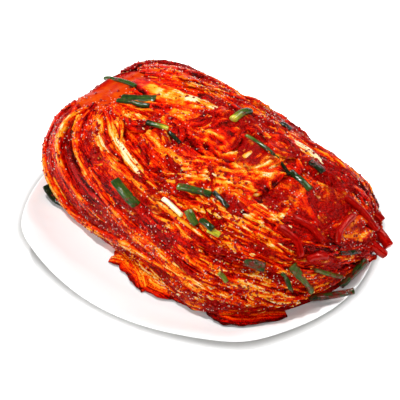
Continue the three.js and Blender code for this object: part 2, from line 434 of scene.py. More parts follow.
def leafMaterial(name, paste, contrast):
    material, tree, shader = newMaterial(name, 0.2, specular=0.13, tinted=redOil)
    space, look, place = meshInputs(tree)
    streaks = speckle(tree, space, 1.0, 3.0, 0.6, (38, 420, 60))
    fibres = speckle(tree, space, 1.0, 2.0, 0.6, (80, 850, 60))
    patches = speckle(tree, place, 75.0, 3.0, 0.6)
    grain = speckle(tree, place, 420.0, 3.0, 0.7)
    grit = speckle(tree, place, 950.0, 1.0, 0.5)
    rough = maths(tree, "ADD", within(tree, look[1], -0.35, 0.05), 0.35)
    gritty = maths(tree, "MULTIPLY", rough, leafTexture["grit"])
    ribbed = (streaks, leafTexture["streaks"] * contrast)
    veined = (fibres, leafTexture["fibres"] * contrast)
    tone = swing(tree, ribbed, (grit, gritty), veined, (grain, leafTexture["grain"]))
    highest = maths(tree, "ADD", look[0], leafTexture["highest"])
    tone = maths(tree, "MINIMUM", maths(tree, "ADD", tone, look[0]), highest)
    # darker red towards the edges: partly the stems' own red edges, partly painted shade where leaves
    # overlap
    atEdge = maths(tree, "MULTIPLY", look[2], leafTexture["edge"])
    flesh = ramp(tree, maths(tree, "SUBTRACT", tone, atEdge, clamp=True), leafColours["flesh"])
    pasteColour = ramp(tree, weighed(tree, (grit, 0.5), (grain, 0.5)), leafColours["paste"])
    cover = weighed(tree, (patches, 1.0), (look[1], 1.0), (grain, 0.35))
    cover = within(tree, cover, 0.98 - 0.3 * paste, 1.2 - 0.3 * paste)
    cells = wire(tree, "ShaderNodeTexVoronoi", {"Vector": place, "Scale": 330.0, "Randomness": 1.0})
    flakes = within(tree, cells.outputs["Distance"], 0.3, 0.18)
    flakes = maths(tree, "MULTIPLY", flakes, leafTexture["flakes"])
    colour = mixed(tree, cover, flesh, pasteColour)
    colour = mixed(tree, flakes, colour, tint(*leafTexture["flakeColour"]))
    ridges = weighed(tree, (streaks, 1.2), (grain, 1.1), (cover, 0.5))
    dress(tree, shader, colour, raised(tree, ridges, 1.2, 0.9))
    shine = maths(tree, "ADD", maths(tree, "MULTIPLY", grain, 0.16), 0.03)
    tree.links.new(shine, shader.inputs["Roughness"])
    return material


def stumpMaterial():
    # the cut core: bare orange flesh with fine fibres, red where the paste has run over its edge
    material, tree, shader = newMaterial("cutCore", 0.35, specular=0.08, tinted=redOil)
    _, look, place = meshInputs(tree)
    soft = speckle(tree, place, 85.0, 3.0, 0.6)
    fine = speckle(tree, place, 520.0, 3.0, 0.7)
    tone = maths(tree, "ADD", swing(tree, (soft, 1.3), (fine, 0.6)), look[0])
    reds = ((0.0, (110, 0, 0)), (0.34, (172, 4, 0)), (0.56, (194, 32, 0)), (1.0, (214, 76, 4)))
    dress(tree, shader, ramp(tree, tone, reds), raised(tree, fine, 0.4, 0.5))
    return material


def onionMaterial():
    material, tree, shader = newMaterial("springOnion", 0.12, specular=0.35)
    space, look, place = meshInputs(tree)
    veins = speckle(tree, space, 1.0, 2.0, 0.6, (30, 1300, 60))
    mottle = speckle(tree, place, 160.0, 3.0, 0.6)
    tone = maths(tree, "ADD", swing(tree, (veins, 0.5), (mottle, 0.5)), look[0])
    greens = (
        *((0.0, (8, 14, 4)), (0.22, (22, 36, 8)), (0.42, (46, 78, 22)), (0.6, (106, 114, 22))),
        *((0.78, (210, 196, 44)), (0.9, (246, 228, 140)), (1.0, (255, 246, 218))),
    )
    smear = speckle(tree, place, 210.0, 3.0, 0.7)  # paste that sticks to the onion
    smear = within(tree, maths(tree, "ADD", smear, look[1]), 0.56, 0.68)
    covered = maths(tree, "MULTIPLY", smear, 0.85)
    colour = mixed(tree, covered, ramp(tree, tone, greens), tint(110, 12, 2))
    height = weighed(tree, (veins, 0.6), (smear, 0.8))
    dress(tree, shader, colour, raised(tree, height, 0.5, 0.6))
    return material


def radishMaterial():
    material, tree, shader = newMaterial("radish", 0.12, specular=0.35, tinted=redOil)
    space, _, place = meshInputs(tree)
    streaks = speckle(tree, space, 1.0, 2.0, 0.6, (40, 500, 60))
    grain = speckle(tree, place, 420.0, 3.0, 0.7)
    tone = weighed(tree, (streaks, 0.6), (grain, 0.45))
    reds = ((0.3, (84, 0, 0)), (0.5, (150, 3, 2)), (0.68, (198, 12, 4)), (0.86, (236, 62, 16)))
    dress(tree, shader, ramp(tree, tone, reds), raised(tree, grain, 0.6, 0.6))
    return material


def glazeMaterial():
    # white porcelain, tinged pink by the juice where the food lies
    material, tree, shader = newMaterial("whiteGlaze", 0.16, 0.5, 0.05)
    place = wire(tree, "ShaderNodeTexCoord", {}).outputs["Object"]
    shift = {"Vector": place, "Location": (0.112, 0.058, 0), "Scale": (1.0, 1.0, 0.0)}
    centred = wire(tree, "ShaderNodeMapping", shift).outputs[0]
    away = wire(tree, "ShaderNodeVectorMath", {0: centred}, operation="LENGTH").outputs["Value"]
    stain = within(tree, away, 0.05, 0.012)
    uneven = speckle(tree, place, 30.0, 3.0, 0.6)
    stain = maths(tree, "MULTIPLY", stain, within(tree, uneven, 0.35, 0.75))
    stain = maths(tree, "MULTIPLY", stain, 0.22)
    colour = mixed(tree, stain, tint(252, 252, 252), tint(252, 205, 190))
    dress(tree, shader, colour, raised(tree, uneven, 0.05, 0.2))
    return material


stemFinish = leafMaterial("pickledStem", 0.8, 0.65)
leafFinish = leafMaterial("pickledLeaf", 0.8, 0.9)
redLeafFinish = leafMaterial("pastyLeaf", 1.15, 1.0)
stumpFinish = stumpMaterial()
onionFinish = onionMaterial()
radishFinish = radishMaterial()
glazeFinish = glazeMaterial()
print("materials made")


def makePlate():
    bm = bmesh.new()
    profile = [*plate["top"], *plate["rim"], *plate["under"], *plate["foot"]]
    verts = [bm.verts.new((share, 0, height)) for share, height in profile]
    edges = [bm.edges.new(pair) for pair in zip(verts, verts[1:])]
    steps = plate["stepsAround"]
    turned = {"cent": (0, 0, 0), "axis": (0, 0, 1), "angle": math.tau, "steps": steps, "use_merge": True}
    bmesh.ops.spin(bm, geom=verts + edges, **turned)
    bmesh.ops.remove_doubles(bm, verts=bm.verts, dist=1e-5)
    for vert in bm.verts:
        angle, share = math.atan2(vert.co.y, vert.co.x), math.hypot(vert.co.x, vert.co.y)
        radius = float(outlineRadius(angle))
        vert.co.z += float(cornerLift(angle, share))
        vert.co.x = vert.co.x * radius + plateMiddle[0]
        vert.co.y = vert.co.y * radius + plateMiddle[1]
        vert.co *= mm
    bmesh.ops.recalc_face_normals(bm, faces=bm.faces)
    piece = finishPiece("dinnerPlate", bm, glazeFinish, "glaze", ("plate",))
    smooth = piece.modifiers.new("smooth", "SUBSURF")
    smooth.levels = smooth.render_levels = 1


makePlate()
print("plate made")


# The heart of the heap: paste-covered inner leaves that show in the gaps, dark partly from the paste and
# partly as painted shade in the gaps
heart = {"sink": 6.5, "stepsAround": 190, "stepsAlong": 190, "topShare": 0.8, "lump": 1.6}


def makeHeart():
    bm = newMesh()
    verts, ball = newBall(bm, heart["stepsAround"], heart["stepsAlong"])
    share = (np.arctan2(ball[:, 1], ball[:, 0]) / math.tau) % 1
    topShare = heart["topShare"]
    under = share > topShare
    around = np.where(under, 1 - (share - topShare) / (1 - topShare), share / topShare)
    along = 0.02 + 0.955 * (1 - np.clip(ball[:, 2], -1, 1)) / 2
    top = heapAt(along, around)
    out = outwardAt(along, around)
    core = seatAt(0.13, 0.47)[0]
    fromCore = np.linalg.norm(top - core, axis=1)
    bearing = np.arctan2(top[:, 1] - core[1], core[0] - top[:, 0]) * 45
    ribs = bumps(together(bearing, fromCore * 0.12, 0), 4.5, 6)
    lumps = 2.2 * ribs + bumps(top, 9, 1) + 0.6 * bumps(top, 4, 2)
    sink = heart["sink"] + heap["farSink"] * smoothStep(around, 0.5, 0.62)
    top += out * (heart["lump"] * lumps - sink)[:, None]
    near, far = heapAt(along, np.zeros(len(along))), heapAt(along, np.ones(len(along)))
    level = near + (far - near) * around[:, None]
    level[:, 2] = 0
    points = np.where(under[:, None], level, top)
    aboveDish(points, 0.5)
    space = together(fromCore * mm, bearing * mm, 0)
    # the low paleness is partly paste, partly painted shade down in the gaps between leaves
    setVerts(bm, verts, points, space, together(0.28 + 0.5 * ribs, 0.1 - 0.3 * ribs, 0))
    bmesh.ops.recalc_face_normals(bm, faces=bm.faces)
    finishPiece("heart", bm, redLeafFinish, "cabbage", ("cabbage_head",))


makeHeart()
print("heart made")


# What a leaf is like where nothing else is said. Lists run from its base to its end,
# lengths are in millimetres, pale runs from dark red at 0 to white at 1.
leafDefaults = {
    "width": (10, 12, 12, 9),
    "lift": (0, 1, 1, 0),
    "crown": 2.6,
    "tilt": 0.0,
    "crinkle": (0.3, 0.8, 1.5, 2.2),
    "ragged": 0.25,
    "pale": (0.55, 0.5, 0.42),
    "paste": 0.0,
    "groove": 0.0,
    # edge: how much the edges darken, partly as painted shade where leaves overlap; below 0 they turn paler
    "edge": 1.0,
    "pleat": 0.7,
    "step": 2.0,
}


def addLeaf(bm, leaf, seed):
    leaf = {**leafDefaults, **leaf}
    path = np.array(leaf["path"], float) / 100
    length = lengthOf(heapAt(*spline(path, np.linspace(0, 1, 60)).T))
    columns = int(np.clip(length / leaf["step"], 12, 150))
    rows = int(np.clip(max(leaf["width"]) / leaf["step"] * 1.2, 6, 44))
    verts, t, v = newGrid(bm, columns, rows)
    middle = spline(path, t)
    girth = np.interp(middle[:, 0], girthPlaces, girths)
    ahead = unit(headingOn(path, t, 0.02) * together(headSize[0], girth))
    half = spline(leaf["width"], t)[:, 0] / 2
    sides = bumps(together(t * length, np.sign(v) * 30, 0), 7, seed + 11)
    half = half * (1 + leaf["ragged"] * (0.3 + t) * sides)
    fray = bumps(together(v * half, t, t), 3, seed + 5) * smoothStep(t, 0.75, 1) * leaf["ragged"] * 0.5
    offset = together(-ahead[:, 1] / headSize[0], ahead[:, 0] / girth) * (half * v)[:, None]
    offset[:, 0] += ahead[:, 0] / headSize[0] * fray * 12
    along, around = (middle + offset).T
    along = np.clip(along, 0.002, 0.998)
    flat = together(t * length, v * half, seed * 9.0)
    crinkle = spline(leaf["crinkle"], t)[:, 0]
    wave = bumps(flat * (0.7, 1, 1), 9, seed) + 0.6 * bumps(flat * (0.6, 1, 1), 4.2, seed + 3)
    pleat = 0.45 - 2.4 * np.abs(bumps(flat * (0.22, 1, 1) + wave[:, None], 3.6, seed + 8))
    pleat += 0.6 * bumps(flat * (0.5, 1, 1), 2.2, seed)
    lift = spline(leaf["lift"], t)[:, 0] + leaf["crown"] * (1 - np.abs(v) ** 2.2) + leaf["tilt"] * v
    lift += 0.7 * crinkle * wave + leaf["pleat"] * (0.4 + 0.5 * crinkle) * pleat
    lift -= leaf["groove"] * np.exp(-((v / 0.25) ** 2)) + 1.6 * np.abs(v) ** 6
    lift -= heap["farSink"] * smoothStep(around, 0.5, 0.62)
    points = heapAt(along, around) + outwardAt(along, around) * lift[:, None]
    aboveDish(points, 0.9)
    # The crinkles' crests are made paler and their valleys redder with paste: partly paste that settles in
    # the valleys, partly painted highlight on the crests and painted shade in the valleys
    relief = 0.5 * wave + 1.6 * pleat * min(1, leaf["pleat"])
    pale = spline(leaf["pale"], t)[:, 0] + (0.07 + 0.1 * crinkle) * relief
    space = together(t * length * mm + seed, v * half * mm, seed * 0.37)
    paste = leaf["paste"] - 0.08 * wave - 0.12 * pleat
    setVerts(bm, verts, points, space, together(pale, paste, leaf["edge"] * np.abs(v) ** 2.2))


def makeLeaves(name, leaves, material, slot, thickness, seed):
    bm = newMesh()
    for number, leaf in enumerate(leaves):
        addLeaf(bm, leaf, seed + number)
    print(name, number + 1, "leaves,", len(bm.faces), "faces")
    finishPiece(name, bm, material, slot, (), thickness)


# Guide lines that fan out from the core: (along, around) in hundredths, from the crown down to the plate
nearGuides = (
    ((20, 46), (28, 45), (38, 44), (52, 43), (70, 44), (94, 46)),
    ((19, 43), (25, 39), (34, 35), (48, 33), (68, 34), (93, 36)),
    ((17, 42), (20, 34), (28, 29), (44, 27), (66, 28), (92, 28)),
    ((14, 42), (15, 32), (22, 23), (38, 18), (62, 16), (90, 14)),
    ((10, 41), (9, 30), (13, 19), (28, 10), (55, 7), (87, 8)),
    ((6, 43), (3, 32), (4, 16), (16, 3), (46, 2), (80, 2)),
)
farGuides = (
    ((20, 48), (28, 49), (38, 50), (52, 51), (70, 53), (95, 52)),
    ((19, 51), (28, 53), (38, 55), (52, 57), (70, 58), (94, 58)),
    ((17, 54), (24, 59), (34, 63), (50, 66), (68, 67), (93, 66)),
    ((14, 57), (18, 66), (28, 72), (46, 76), (66, 78), (91, 80)),
    ((10, 58), (10, 70), (15, 81), (30, 89), (56, 91), (87, 90)),
    ((6, 56), (3, 68), (4, 84), (16, 97), (46, 98), (80, 98)),
)
bands = {
    "near": 25,
    "far": 28,
    "start": (0.0, 0.12),
    "reach": (0.6, 1.0),
    "width": (12, 21),
    "pale": (0.24, 0.36, 0.46, 0.52, 0.58, 0.66),
}


def guideLine(guides, share, first, last, sway):
    # a path between two guide lines, where share runs from 0 at the first guide to 1 at the last
    guides = np.array(guides, float)
    place = np.clip(share, 0, 0.9999) * (len(guides) - 1)
    row = int(place)
    line = guides[row] + (guides[row + 1] - guides[row]) * (place - row)
    path = spline(line, np.linspace(first, last, 7))
    path[:, 1] += sway * np.sin(np.linspace(0, 4, 7))
    return path


def bandLeaves(guides, count, draw):
    for number in range(count):
        share = (number + 0.5 + draw.uniform(-0.3, 0.3)) / count
        first = draw.uniform(*bands["start"])
        last = draw.uniform(*bands["reach"])
        width = draw.uniform(*bands["width"])
        pale = draw.choice(bands["pale"])
        yield {
            "path": guideLine(guides, share, first, last, draw.uniform(-1.2, 1.2)),
            "width": (width * 0.7, width, width * 1.15, width * 1.5, width * 1.3),
            "lift": (-2, draw.uniform(-2.5, 0.5), draw.uniform(-2, 1), -1.5),
            "crown": draw.uniform(2.4, 4.6),
            "tilt": draw.uniform(-2.2, 2.2),
            "crinkle": (0.2, 0.4, 1.0, 1.8),
            "pale": (pale, pale, pale - 0.06, pale - 0.1),
            "paste": draw.uniform(-0.1, 0.12),
        }


draw = random.Random(11)
makeLeaves("nearLeaves", bandLeaves(nearGuides, bands["near"], draw), stemFinish, "cabbage", 1.2, 100)
makeLeaves("farLeaves", bandLeaves(farGuides, bands["far"], draw), stemFinish, "cabbage", 1.2, 200)


# Shorter leaf ends over the bands, crinkled and ragged, thicker with paste towards the tips
shreds = {
    "count": 120,
    "first": (0.3, 0.8),
    "share": (0, 1),
    "length": (12, 34),
    "width": (8, 20),
    "lift": 0,
    "tilt": 3,
    "step": 2.0,
    "paste": 0.0,
}
crownShreds = {
    "count": 80,
    "first": (0.16, 0.86),
    "share": (0, 0.42),
    "length": (10, 24),
    "width": (8, 17),
    "lift": 2.4,
    "tilt": 4.4,
    "step": 1.6,
    "paste": 0.05,
}


def shredLeaves(draw, kind):
    for number in range(kind["count"]):
        guides = farGuides if number % 2 else nearGuides
        low, high = kind["share"]
        share = low + (high - low) * draw.random() ** 0.8
        first = draw.uniform(*kind["first"])
        last = min(1.0, first + draw.uniform(*kind["length"]) / 100)
        width = draw.uniform(*kind["width"])
        pale = draw.uniform(0.12, 0.56) - 0.1 * first
        path = guideLine(guides, share, first, last, draw.uniform(-3, 3))
        rises = (-2.5, draw.uniform(0.2, 2.0), draw.uniform(0, 2.4), -0.8)
        yield {
            "path": path,
            "width": (width * 0.4, width, width * 1.2, width, width * 0.5),
            "lift": [kind["lift"] + rise for rise in rises],
            "crown": draw.uniform(0.6, 2.2),
            "tilt": draw.choice((-1, 1)) * draw.uniform(0.3, 1) * kind["tilt"],
            "crinkle": (0.6, 1.2, 1.8, 2.4),
            "ragged": 0.45,
            "edge": -0.2,
            "pleat": 1.0,
            "step": kind["step"],
            "pale": (pale, pale + 0.05, pale - 0.05),
            "paste": kind["paste"] + draw.uniform(-0.05, 0.2),
        }


makeLeaves("leafShreds", shredLeaves(draw, shreds), redLeafFinish, "leaf", 1.0, 300)
makeLeaves("crownShreds", shredLeaves(draw, crownShreds), leafFinish, "leaf", 1.0, 800)


# The tips at the +X end, which curl down over the edge of the heap
tips = {"count": 44, "around": (12, 78), "start": (62, 84), "end": (90, 99.5), "width": (9, 18)}


def tipLeaves(draw):
    for number in range(tips["count"]):
        low, high = tips["around"]
        around = low + (high - low) * (number + draw.random()) / tips["count"]
        start, end = draw.uniform(*tips["start"]), draw.uniform(*tips["end"])
        drift = draw.uniform(-7, 7)
        t = np.array((0, 0.3, 0.6, 0.85, 1))
        path = together(start + (end - start) * t, around + drift * t + 2 * np.sin(7 * t + number))
        width = draw.uniform(*tips["width"])
        pale = draw.choice((0.34, 0.4, 0.44, 0.5, 0.56))
        yield {
            "path": path,
            "width": (width * 0.5, width, width * 1.2, width, width * 0.6),
            "lift": (-3, draw.uniform(-1, 1.5), draw.uniform(-1, 1.5), -1.5),
            "crown": draw.uniform(1.5, 3),
            "tilt": draw.uniform(-2, 2),
            "crinkle": (0.6, 1.2, 1.6, 1.8),
            "ragged": 0.4,
            "pleat": 1.0,
            "step": 1.6,
            "pale": (pale, pale + 0.04, pale - 0.05),
            "paste": draw.uniform(-0.05, 0.2),
        }


makeLeaves("tipLeaves", tipLeaves(draw), redLeafFinish, "leaf", 1.0, 450)

# What the crinkled leaves on the crown and at the tips share
crinkled = {"crinkle": (0.8, 1.4, 1.8, 2.0), "ragged": 0.4, "step": 1.15, "pleat": 1.5, "edge": 0.1}
# Leaves that stand out, laid one by one: a value for each key, and what else is unusual
leafKeys = ("path", "width", "lift", "crown", "pale", "paste")
namedLeaves = (
    # long stems on the side that shows
    (((14, 40), (11, 35), (10, 28), (12, 21), (17, 15), (27, 11), (40, 9)), (6, 9, 11, 10, 8, 4),
     (0, 2, 3, 3, 2, 0), 3.5, (0.6, 0.8, 0.82, 0.74, 0.6, 0.5), -0.3, {}),
    (((15, 39), (15, 33), (17, 27), (22, 22), (31, 17), (46, 14), (62, 13)), (6, 9, 11, 12, 12, 7),
     (0, 2, 2, 2, 2, 0), 3, (0.5, 0.6, 0.66, 0.6, 0.55, 0.5), -0.2, {}),
    (((19, 40), (20, 36), (23, 32), (29, 29), (34, 28), (44, 27), (54, 27), (64, 28), (74, 29)),
     (6, 9, 10, 11, 11, 9, 6), (0, 2, 3, 3.4, 3.2, 2.6, 1), 3.2, (0.5, 0.62, 0.66, 0.68, 0.66, 0.62, 0.55),
     -0.25, {}),
    (((19, 41), (20, 37), (23, 34), (27, 31), (32, 29), (37, 28)), (7, 13, 16, 13, 9, 4),
     (0, 2, 2.5, 2.5, 2, 0.5), 3, (0.56, 0.72, 0.74, 0.78, 0.74, 0.6), -0.1, {}),
    (((20, 41), (24, 38.5), (28, 35.5), (33.5, 33), (40.5, 31), (48, 30)), (5, 9, 13, 14, 11, 5),
     (0, 2.6, 4, 4.4, 3.6, 1.2), 3.4, (0.56, 0.64, 0.74, 0.98, 0.84, 0.64), -0.35,
     {"groove": 1.0, "edge": 1.2, "pleat": 0.3}),
    (((7, 40), (4, 33), (3, 24), (5, 14), (11, 6), (20, 3), (32, 4), (46, 8), (58, 10), (68, 14)),
     (6, 9, 11, 12, 12, 11, 10, 9, 6), (0, 1.5, 2.5, 3, 3, 3, 3, 2.5, 1), 3,
     (0.5, 0.55, 0.6, 0.68, 0.74, 0.72, 0.68, 0.6, 0.5), -0.2, {}),
    (((10, 40), (7, 33), (7, 24), (9, 17), (15, 10), (26, 7), (40, 9), (54, 11), (66, 15)),
     (8, 12, 14, 14, 13, 12, 10, 8), (0, 1, 1.5, 1.5, 1.5, 1.5, 1), 2.2,
     (0.36, 0.38, 0.36, 0.34, 0.34, 0.36), 0.15, {}),
    # pale stems beyond the crown
    (((18, 50.3), (24, 50.3), (30, 50.3), (37, 51), (45, 52), (55, 53)), (4, 6, 7.5, 7.5, 7, 3),
     (0, 2.2, 2.8, 2.8, 2.4, 0.5), 2.8, (0.46, 0.62, 0.84, 0.94, 0.84, 0.62), -0.25,
     {"groove": 0.8, "edge": 1.4, "pleat": 0.4}),
    (((18, 53), (24, 54), (32, 55), (40, 55), (48, 55)), (6, 9, 10, 9, 5), (0, 2, 2.6, 2.4, 0.5), 2.6,
     (0.5, 0.58, 0.62, 0.6, 0.55), -0.1, {}),
    (((61, 58), (66, 59), (72, 60), (78, 60)), (7, 12, 12, 7), (1, 4.4, 4.6, 1.5), 2.6,
     (0.68, 0.9, 1.0, 0.84), -0.4, {"pleat": 0.5}),
    (((52, 54), (60, 55), (68, 57), (76, 58), (84, 58)), (8, 16, 18, 14, 6), (0, 1.5, 2, 1.8, 0), 2.6,
     (0.55, 0.6, 0.66, 0.56, 0.45), -0.15, {}),
    # the bases of the leaves beyond the core
    (((15, 54), (19, 56), (24, 58), (31, 59), (38, 60), (48, 60)), (7, 12, 14, 13, 11, 6),
     (-1, 1, 2.4, 2.4, 2, 0), 2.6, (0.5, 0.58, 0.6, 0.56, 0.5), -0.1, {}),
    (((9, 55), (10, 61), (14, 67), (22, 73), (34, 77)), (9, 15, 17, 15, 10), (-1, 2, 3, 3, 1), 2.6,
     (0.3, 0.36, 0.34, 0.4), 0.15, {}),
    (((13, 55), (18, 59), (25, 62), (33, 65), (44, 67)), (8, 12, 14, 13, 8), (-1, 2.5, 4, 4, 1), 2.6,
     (0.45, 0.56, 0.6, 0.5), -0.05, {}),
    # crinkled inner leaves on the crown
    (((20, 45), (27, 46), (34, 47), (42, 48), (50, 49), (57, 49)), (7, 14, 20, 22, 20, 13),
     (0, 1.6, 2.4, 3, 3.4, 3.4), 2.4, (0.46, 0.5, 0.48, 0.44), 0.0, {**crinkled, "ragged": 0.5}),
    (((21, 43), (26, 42), (31, 42), (36, 41), (40, 40)), (7, 14, 18, 16, 9), (0, 1.6, 2, 2, 1), 2.4,
     (0.58, 0.62, 0.6, 0.55), -0.1, crinkled),
    (((44, 38), (50, 41), (56, 44), (63, 47), (68, 49), (72, 50)), (8, 18, 23, 23, 19, 10),
     (0, 2, 3, 3.6, 3.6, 3.0), 2.4, (0.5, 0.55, 0.56, 0.5), -0.05,
     {**crinkled, "crinkle": (1.2, 1.8, 2.0, 2.2), "ragged": 0.5}),
    (((44, 31), (50, 35), (57, 40), (64, 44), (70, 46)), (8, 14, 17, 17, 10), (0, 1.6, 2.6, 3.2, 2.6), 2.6,
     (0.62, 0.62, 0.58, 0.5), -0.15, {**crinkled, "crinkle": (0.8, 1.2, 1.4, 1.8), "ragged": 0.35}),
    (((46, 27), (53, 31), (60, 35), (68, 38), (74, 40)), (8, 16, 20, 18, 8), (0, 1.5, 2, 2, 0), 2.4,
     (0.6, 0.58, 0.55, 0.48), -0.1, {**crinkled, "crinkle": (0.8, 1.2, 1.6, 1.8), "ragged": 0.35}),
    # leaves that reach the tips
    (((44, 22), (50, 23), (57, 25), (64, 26), (70, 27)), (8, 16, 20, 18, 8), (0, 1.6, 2, 1.8, 0), 2.4,
     (0.5, 0.55, 0.55, 0.48), -0.05, crinkled),
    (((62, 34), (68, 36), (75, 36), (81, 34), (86, 32)), (8, 16, 20, 20, 12), (0, 2, 3, 3, 1.5), 2.6,
     (0.55, 0.62, 0.62, 0.55), -0.15, {**crinkled, "crinkle": (0.8, 1.4, 1.8, 2.2), "ragged": 0.45}),
    (((64, 40), (70, 41), (76, 41), (81, 40), (85, 38)), (8, 16, 22, 20, 10), (0, 1.6, 2.4, 2.4, 1), 2.4,
     (0.5, 0.58, 0.58, 0.5), -0.05, {**crinkled, "crinkle": (0.8, 1.4, 2.0, 2.2), "ragged": 0.45}),
    (((58, 19), (66, 19), (74, 19), (81, 18), (86, 15), (90, 10)), (14, 26, 32, 32, 28, 20),
     (0, 1.6, 2.4, 3, 3, 2), 3, (0.48, 0.52, 0.56, 0.58, 0.56), -0.02,
     {**crinkled, "crinkle": (0.8, 1.6, 2.4, 2.8), "ragged": 0.5}),
    (((34, 2), (42, 2), (50, 2), (58, 3), (66, 6), (73, 9)), (14, 22, 26, 26, 20, 10),
     (0, 0.6, 1, 1.4, 1, 0), 2, (0.6, 0.66, 0.64, 0.6), -0.2,
     {**crinkled, "crinkle": (0.8, 1.2, 1.6, 1.6)}),
    (((50, 12), (58, 12), (66, 13), (72, 12), (76, 10)), (8, 16, 18, 14, 6), (0, 1.6, 2, 1.6, 0), 2.4,
     (0.5, 0.6, 0.62, 0.5), -0.12, crinkled),
)
shown = [{**dict(zip(leafKeys, values)), **more} for *values, more in namedLeaves]
makeLeaves("shownLeaves", shown, leafFinish, "cabbage", 1.4, 500)
print("leaves made")


# The cut core, placed and sized in shares along and around the heap
stump = {"along": 0.135, "around": 0.465, "halfAlong": 0.085, "halfAround": 0.085, "lift": 0.3, "edge": 7}


def makeStump():
    bm = newMesh()
    verts, ball = newBall(bm, 96, 72)
    reach = np.hypot(ball[:, 0], ball[:, 1])
    wobble = 1 + 0.14 * bumps(ball, 0.7, 3) + 0.05 * bumps(ball, 0.2, 4)
    x, y = (ball[:, :2] * wobble[:, None]).T
    along = stump["along"] + stump["halfAlong"] * x
    around = stump["around"] + stump["halfAround"] * y + 0.025 * x
    flat = stump["lift"] - stump["edge"] * smoothStep(reach, 0.85, 1.05) + 0.4 * x - y
    flat += 2.4 * bumps(together(x, y, 0), 0.5, 5)
    depth = np.where(ball[:, 2] > 0, flat, -5 - 5 * np.sqrt(np.clip(1 - reach**2, 0, 1)))
    points = heapAt(along, around) + outwardAt(along, around) * depth[:, None]
    overRun = smoothStep(0.65 * y - 0.6 * x, 0.3, 0.95) + 0.6 * smoothStep(reach, 0.8, 1)
    setVerts(bm, verts, points, 0 * points, together(0.74 - overRun, 0, reach))
    bmesh.ops.recalc_face_normals(bm, faces=bm.faces)
    finishPiece("cutCore", bm, stumpFinish, "cabbage")


makeStump()


# Spring onion and radish: rods laid along the paths of their solids
# name: (slot, path in plan or in space, width, thickness, lift, colour at its start, colour at its end)
onions = {
    "onion_root_stalk": (
        *("onionGreen", ((-131, 45, 78), (-112, 41, 85), (-88, 34, 88))),
        *(5, 4.5, 1.8, 0.45, 0.34),
    ),
    "onion_dark_leaf": ("onionDark", ((-90, 17), (-76, 23), (-62, 27)), 12, 3.4, 1.6, 0.3, 0.36),
    "onion_core_stalk": ("onionGreen", ((-89, 11), (-74, 13), (-60, 16)), 6, 4.5, 2.4, 0.34, 0.3),
    "onion_split_tip": ("onionYellow", ((-49, -1), (-30, 2)), 6, 4, 1.5, 0.15, 0.78),
    "onion_split_stalk": ("onionDark", ((-28, 0), (-14, -4)), 4, 3.6, 1.2, 0.18, 0.1),
    "onion_wide_leaf": ("onionGreen", ((-46, -43), (-32, -48), (-18, -52)), 14, 3.2, 1.8, 0.4, 0.42),
    "onion_middle_green": ("onionGreen", ((8, -35), (21, -32), (34, -30)), 7.5, 5.5, 2, 0.46, 0.3),
    "onion_middle_stalk": ("onionDark", ((34, -27), (51, -32)), 4.5, 4, 1.6, 0.15, 0.1),
    "onion_white": ("onionWhite", ((1, -45), (12, -47), (23, -50)), 4.4, 3.8, 2.2, 0.97, 0.92),
    "onion_bent_green": ("onionYellow", ((26, -46), (37, -52)), 7.5, 5.5, 2.2, 0.55, 0.42),
    "onion_bent_dark": ("onionDark", ((39, -48), (52, -49)), 6.5, 5, 2, 0.26, 0.26),
    "onion_yellow_ring": ("onionYellow", ((48, -51), (58, -50)), 6, 5, 2, 0.76, 0.68),
    "onion_under_leaf": ("onionDark", ((-117, -40, 24), (-103, -48, 14)), 9, 7, 0, 0.15, 0.1),
    "onion_far_ring": ("onionYellow", ((2, 42), (3, 54), (4, 66)), 8, 7, 2.4, 0.78, 0.2),
    "onion_far_bit": ("onionDark", ((28, 76), (38, 74)), 5.5, 4.5, 1.6, 0.12, 0.12),
    "onion_long_thin": ("onionYellow", ((19, 37), (42, 33), (67, 26)), 4, 3.6, 1.2, 0.55, 0.1),
    "onion_long_green": ("onionGreen", ((66, 29), (76, 26), (87, 22)), 6.5, 5, 1.8, 0.2, 0.36),
    "onion_far_dark": ("onionDark", ((72, 46), (85, 44)), 7.5, 4.5, 1.6, 0.1, 0.1),
    "onion_chunk": ("onionGreen", ((81, -54), (94, -48)), 10.5, 6.5, 1.8, 0.3, 0.28),
    "onion_flat_green": (
        *("onionGreen", ((106, -34, 47), (114, -32, 38), (121, -30, 27))),
        *(9.5, 5, 1, 0.45, 0.45),
    ),
    "onion_thin_light": ("onionGreen", ((118, -24, 41), (126, -15, 33), (133, -5, 26)), 5, 4, 1, 0.52, 0.5),
    "onion_end_stalk": ("onionDark", ((135, -9, 18), (139, 3, 25), (143, 16, 31)), 6.5, 6, 1, 0.3, 0.25),
    "onion_over_rim": ("onionDark", ((122, -33, 19), (137, -24, 23), (149, -14, 26)), 6.5, 6, 1, 0.2, 0.28),
    "onion_end_bit": ("onionDark", ((126, 0, 42), (136, 16, 36)), 5, 4, 1, 0.15, 0.15),
    "onion_low_bit": ("onionGreen", ((104, -42), (112, -43)), 4.6, 3.8, 1.2, 0.36, 0.36),
    "onion_small_ring": ("onionYellow", ((68, -67), (76, -68)), 4.6, 4.2, 1.5, 0.66, 0.56),
}
radishes = {  # without slot and colours
    "radish_strip_1": (((87, -22), (101, -20), (108, -26)), 6.5, 5.5, 1.8),
    "radish_strip_2": (((118, 32), (117, 14), (121, 2)), 6.5, 5.5, 2),
    "radish_strip_3": (((106, 40), (121, 44), (136, 44)), 7, 6, 2),
    "radish_strip_4": (((112, -24), (115, -17), (120, -11)), 7, 6, 1.6),
    "radish_strip_5": (((91, -8), (103, -4), (113, -6)), 6, 5, 1.4),
    "radish_tip_1": (((137, 48, 33), (143, 45, 31), (150, 42, 28)), 9, 9, 0),
    "radish_tip_2": (((139, 32, 32), (145, 34, 28), (150, 36, 24)), 8, 8, 0),
    "radish_tip_3": (((122, 60, 37), (132, 60, 32)), 8, 7, 0),
}

